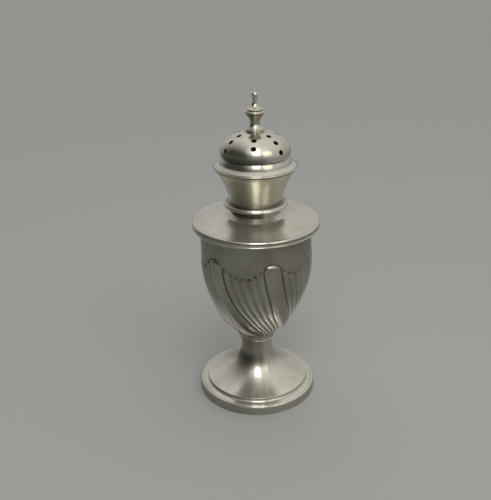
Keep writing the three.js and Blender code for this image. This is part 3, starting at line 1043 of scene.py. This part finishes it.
def foot_silver():
    return silver(
        "foot_silver_worn", clean=(0.60, 0.585, 0.51), dull=(0.50, 0.48, 0.40),
        shine=0.13, haze=0.26, streaks=0.10, seed=1.3, turned_grain=0.8, scatter=0.12)


def bowl_silver():
    return silver(
        "bowl_silver_chased", clean=(0.36, 0.35, 0.30), dull=(0.26, 0.25, 0.20),
        shine=0.18, haze=0.34, streaks=0.04, seed=4.1, scatter=0.1)


def shoulder_silver():
    return silver(
        "shoulder_silver_soft", clean=(0.58, 0.565, 0.49), dull=(0.48, 0.46, 0.38),
        shine=0.16, haze=0.27, streaks=0.10, seed=7.7, turned_grain=0.8, scatter=0.17)


def cover_silver():
    return silver(
        "cover_silver_soft", clean=(0.60, 0.58, 0.50), dull=(0.50, 0.475, 0.385),
        shine=0.12, haze=0.22, streaks=0.08, seed=2.9, turned_grain=0.8)


def collar_silver():
    return silver(
        "collar_silver_tarnished", clean=(0.60, 0.58, 0.51), dull=(0.48, 0.45, 0.355),
        shine=0.16, haze=0.28, streaks=0.08, seed=5.2, turned_grain=0.8, scatter=0.01)


def sleeve_silver():
    return silver(
        "sleeve_silver_dull", clean=(0.48, 0.46, 0.38), dull=(0.38, 0.36, 0.28),
        shine=0.25, haze=0.4, streaks=0.12, seed=9.4, turned_grain=0.6)


# Stage


def floor():
    half = 3.0
    corners = [(-half, -half, 0), (half, -half, 0), (half, half, 0), (-half, half, 0)]
    mesh = bpy.data.meshes.new("floor")
    mesh.from_pydata(corners, [], [(0, 1, 2, 3)])
    plane = bpy.data.objects.new("floor", mesh)
    bpy.context.scene.collection.objects.link(plane)
    material = bpy.data.materials.new("floor_matte")
    material.use_nodes = True
    shader = material.node_tree.nodes["Principled BSDF"]
    shader.inputs["Base Color"].default_value = FLOOR_GREY
    shader.inputs["Roughness"].default_value = 0.6
    shader.inputs["Specular IOR Level"].default_value = 0.2
    mesh.materials.append(material)


def lamp(name, place, aim, width, height, power, colour):
    """A soft panel of light. place and aim are in metres."""
    light = bpy.data.lights.new(name, "AREA")
    light.shape = "RECTANGLE"
    light.size = width
    light.size_y = height
    light.energy = power
    light.color = colour
    panel = bpy.data.objects.new(name, light)
    panel.location = place
    panel.rotation_euler = (Vector(aim) - Vector(place)).to_track_quat("-Z", "Y").to_euler()
    bpy.context.scene.collection.objects.link(panel)


def lights():
    """A cool light high in front, and a warm one on the right."""
    aim = (0.0, 0.0, 0.06)
    lamp(
        "key", place=(0.02, -0.40, 0.61), aim=aim, width=0.24, height=0.40,
        power=1.05, colour=(0.94, 0.97, 1.0))
    lamp(
        "fill", place=(0.45, -0.45, 0.56), aim=aim, width=0.36, height=0.36,
        power=0.5, colour=(1.0, 0.93, 0.82))


def towards(turn, rise):
    """The direction at a turn to the right of the front and a rise above level, in degrees."""
    turn = math.radians(turn)
    rise = math.radians(rise)
    return Vector((math.sin(turn) * math.cos(rise), -math.cos(turn) * math.cos(rise), math.sin(rise)))


def room():
    """A soft pale room, dim on the left and low in front, and bright high in front."""
    world = bpy.data.worlds.new("room")
    bpy.context.scene.world = world
    world.use_nodes = True
    tree = world.node_tree
    nodes = Nodes(tree)
    background = tree.nodes["Background"]
    direction = nodes.add("ShaderNodeTexCoord").outputs["Generated"]
    parts = nodes.add("ShaderNodeSeparateXYZ")
    nodes.link(direction, parts.inputs[0])
    height = nodes.ranged(parts.outputs["Z"], 0.2, 0.9)
    colour = nodes.blended(height, (0.56, 0.56, 0.55), (0.92, 0.92, 0.90))
    # Each patch: its turn and rise, the angles it is full within and gone beyond, its colour
    patches = (
        (-68, 8, 32, 76, (0.04, 0.04, 0.035)),
        (4, -14, 16, 46, (0.12, 0.12, 0.11)),
        (12, 58, 12, 34, (1.2, 1.18, 1.12)),
    )
    for turn, rise, full, gone, shade in patches:
        facing = nodes.add("ShaderNodeVectorMath", operation="DOT_PRODUCT")
        nodes.link(direction, facing.inputs[0])
        facing.inputs[1].default_value = towards(turn, rise)
        edge = math.cos(math.radians(gone))
        core = math.cos(math.radians(full))
        colour = nodes.blended(nodes.ranged(facing.outputs["Value"], edge, core), colour, shade)
    nodes.link(colour, background.inputs["Color"])
    background.inputs["Strength"].default_value = 1.0


def camera():
    pitch, yaw, roll = (math.radians(angle) for angle in (CAMERA_PITCH, CAMERA_YAW, CAMERA_ROLL))
    forward = Vector((math.sin(yaw) * math.cos(pitch), math.cos(yaw) * math.cos(pitch), -math.sin(pitch)))
    level = Vector((math.cos(yaw), -math.sin(yaw), 0.0))
    upright = level.cross(forward)
    right = level * math.cos(roll) + upright * math.sin(roll)
    up = upright * math.cos(roll) - level * math.sin(roll)
    lens = bpy.data.cameras.new("camera")
    lens.sensor_fit = "HORIZONTAL"
    lens.lens = lens.sensor_width * FOCAL_PIXELS / IMAGE_WIDTH
    lens.clip_start = 0.01
    eye = bpy.data.objects.new("camera", lens)
    turn = Matrix((right, up, -forward)).transposed().to_4x4()
    eye.matrix_world = Matrix.Translation(Vector(CAMERA_PLACE) * MM) @ turn
    bpy.context.scene.collection.objects.link(eye)
    bpy.context.scene.camera = eye


def shaker():
    """Every piece, in the silver that it is made of."""
    foot_metal = foot_silver()
    bowl_metal = bowl_silver()
    shoulder_metal = shoulder_silver()
    cover_metal = cover_silver()
    collar_metal = collar_silver()
    sleeve_metal = sleeve_silver()
    pieces = (
        ("foot_band", foot_band, foot_metal),
        ("foot_moulding", foot_moulding, foot_metal),
        ("foot_dome", foot_dome, foot_metal),
        ("bowl_boss", bowl_boss, foot_metal),
        ("bowl", bowl, bowl_metal),
        ("bowl_bead", bowl_bead, shoulder_metal),
        ("shoulder", shoulder, shoulder_metal),
        ("shoulder_lip", shoulder_lip, shoulder_metal),
        ("neck_ring", neck_ring, shoulder_metal),
        ("cover_bezel", cover_bezel, sleeve_metal),
        ("cover_collar", cover_collar, collar_metal),
        ("girdle", girdle, cover_metal),
        ("girdle_wire", girdle_wire, cover_metal),
        ("dome", dome, cover_metal),
        ("finial", finial, cover_metal),
    )
    for node, shape, metal in pieces:
        stand_for(shape(), node, metal)


camera()
room()
floor()
lights()
shaker()

bpy.context.scene.view_settings.view_transform = "Standard"
